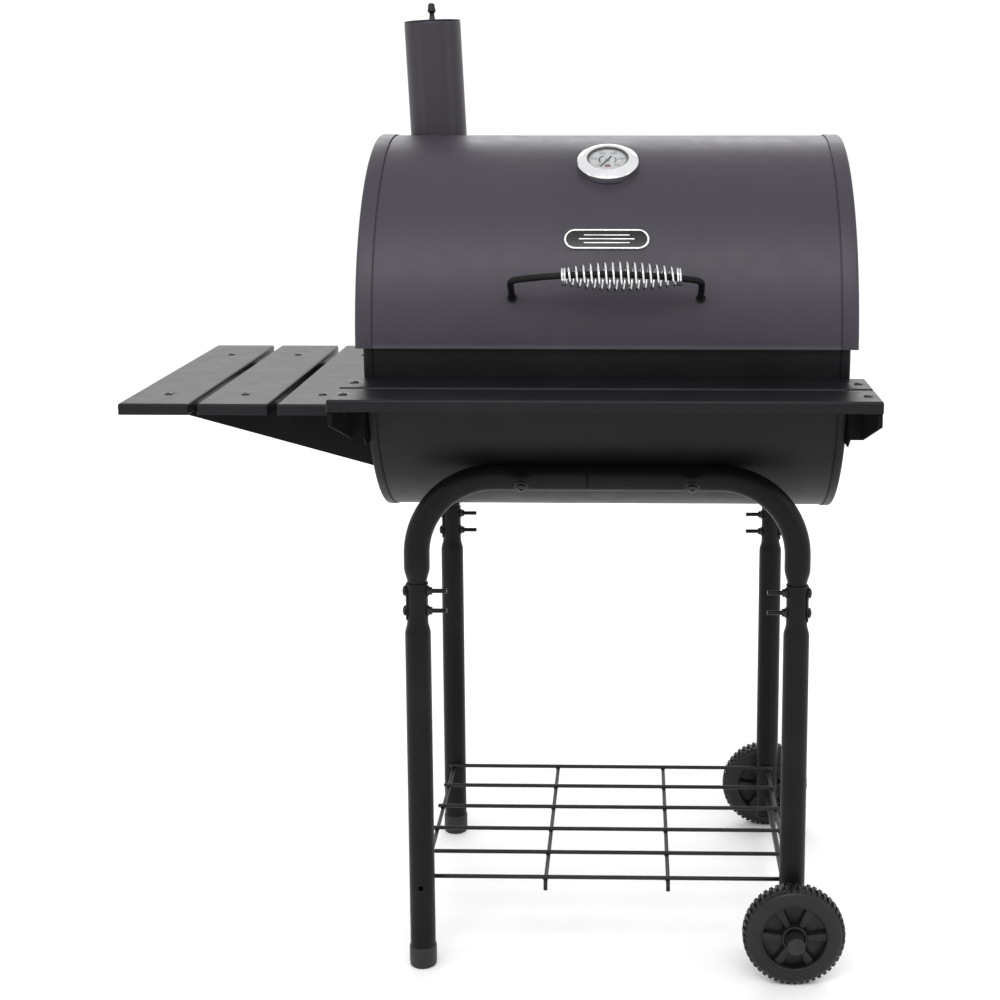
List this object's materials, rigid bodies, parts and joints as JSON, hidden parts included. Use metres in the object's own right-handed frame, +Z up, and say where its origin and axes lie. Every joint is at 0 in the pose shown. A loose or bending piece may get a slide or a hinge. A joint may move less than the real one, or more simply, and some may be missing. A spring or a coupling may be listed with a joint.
{
  "type": "barrel charcoal grill",
  "caption": "Charcoal grill with a hinged barrel lid and chimney on a wheeled tube cart, with front and side slatted shelves and a wire rack below.",
  "frame": {"origin": "centre of the whole grill's bounding box, on the floor that its feet and wheels stand on", "axes": "+Z up, +X along the barrel from the side shelf towards the wheels, -Y towards the front shelf and the user"},
  "size_m": [0.914, 0.677, 1.2549],
  "materials": {
    "barrel_paint": "satin black high-temperature paint",
    "tube_paint": "satin black powder coat",
    "shelf_paint": "smooth satin black powder coat",
    "wire_paint": "satin black coated wire",
    "wheel_plastic": "moulded black plastic",
    "cap_plastic": "matt black plastic",
    "grate_enamel": "black enamelled rod",
    "chrome": "bright plated",
    "gauge_glass": "clear",
    "dial_face": "matt white print",
    "needle_paint": "matt black",
    "badge_metal": "brushed plate",
    "black_fastener": "black oxide"
  },
  "bodies": {
    "cart": {"axle": "wire_paint", "axle_caps": "wheel_plastic", "bottom_rack": "wire_paint", "bracket_bolts": "black_fastener", "firebox_end_left": "barrel_paint", "firebox_end_right": "barrel_paint", "firebox_shell": "barrel_paint", "foot_cap_front": "cap_plastic", "foot_cap_rear": "cap_plastic", "frame_nuts": "black_fastener", "front_bracket_left": "shelf_paint", "front_bracket_right": "shelf_paint", "front_slat_inner": "shelf_paint", "front_slat_outer": "shelf_paint", "grate_ledges": "wire_paint", "hinge_lower_bolts": "black_fastener", "hinge_lower_leaves": "black_fastener", "hinge_pins": "black_fastener", "leg_joint_bolts": "black_fastener", "leg_joint_plates": "black_fastener", "lower_leg_front_left": "tube_paint", "lower_leg_front_right": "tube_paint", "lower_leg_rear_left": "tube_paint", "lower_leg_rear_right": "tube_paint", "saddle_bolts": "black_fastener", "shelf_screws": "black_fastener", "side_bracket_front": "shelf_paint", "side_bracket_rear": "shelf_paint", "side_slat_1": "shelf_paint", "side_slat_2": "shelf_paint", "side_slat_3": "shelf_paint", "upper_leg_front_left": "tube_paint", "upper_leg_front_right": "tube_paint", "upper_leg_rear_left": "tube_paint", "upper_leg_rear_right": "tube_paint", "vent_rivet": "black_fastener"},
    "lid": {"badge_plate": "badge_metal", "chimney_pipe": "barrel_paint", "chimney_screws": "barrel_paint", "damper_bolt": "black_fastener", "handle_nuts": "black_fastener", "handle_rod": "wire_paint", "hinge_upper_bolts": "black_fastener", "hinge_upper_leaves": "black_fastener", "lid_end_left": "barrel_paint", "lid_end_right": "barrel_paint", "lid_shell": "barrel_paint", "thermometer_case": "chrome", "thermometer_dial": "dial_face", "thermometer_glass": "gauge_glass"},
    "needle": {"thermometer_needle": "needle_paint"},
    "grip": {"handle_spring": "chrome"},
    "damper": {"chimney_damper": "barrel_paint"},
    "front_wheel": {"wheel_front": "wheel_plastic"},
    "rear_wheel": {"wheel_rear": "wheel_plastic"},
    "shutter": {"air_shutter": "barrel_paint"},
    "fire_grate": {"fire_grate": "grate_enamel"},
    "left_grate": {"cooking_grate_left": "grate_enamel"},
    "right_grate": {"cooking_grate_right": "grate_enamel"}
  },
  "joints": [
    {"name": "lid_hinge", "type": "hinge", "parent": "cart", "child": "lid", "pos_m": [0.143, 0.3265, 0.834], "axis": [-1, 0, 0], "range_deg": [0, 90]},
    {"name": "needle_turn", "type": "hinge", "parent": "lid", "child": "needle", "pos_m": [0.143, -0.06706, 1.04069], "axis": [0, 0.5225, -0.8526], "range_deg": [0, 240]},
    {"name": "grip_spin", "type": "hinge", "parent": "lid", "child": "grip", "pos_m": [0.1615, -0.22406, 0.91789], "axis": [1, 0, 0], "continuous": true},
    {"name": "damper_turn", "type": "hinge", "parent": "lid", "child": "damper", "pos_m": [-0.09822, 0.1145, 1.229], "axis": [-0.0454, 0, 0.999], "range_deg": [0, 60]},
    {"name": "front_wheel_spin", "type": "hinge", "parent": "cart", "child": "front_wheel", "pos_m": [0.384, -0.1725, 0.066], "axis": [0, 1, 0], "continuous": true},
    {"name": "rear_wheel_spin", "type": "hinge", "parent": "cart", "child": "rear_wheel", "pos_m": [0.384, 0.3015, 0.066], "axis": [0, 1, 0], "continuous": true},
    {"name": "shutter_turn", "type": "hinge", "parent": "cart", "child": "shutter", "pos_m": [0.44, 0.0645, 0.69], "axis": [1, 0, 0], "range_deg": [0, 60]},
    {"name": "fire_grate_lift", "type": "slide", "parent": "cart", "child": "fire_grate", "axis": [0, 0, 1], "range_m": [0, 0.06]},
    {"name": "left_grate_lift", "type": "slide", "parent": "cart", "child": "left_grate", "axis": [0, 0, 1], "range_m": [0, 0.08]},
    {"name": "right_grate_lift", "type": "slide", "parent": "cart", "child": "right_grate", "axis": [0, 0, 1], "range_m": [0, 0.08]}
  ]
}
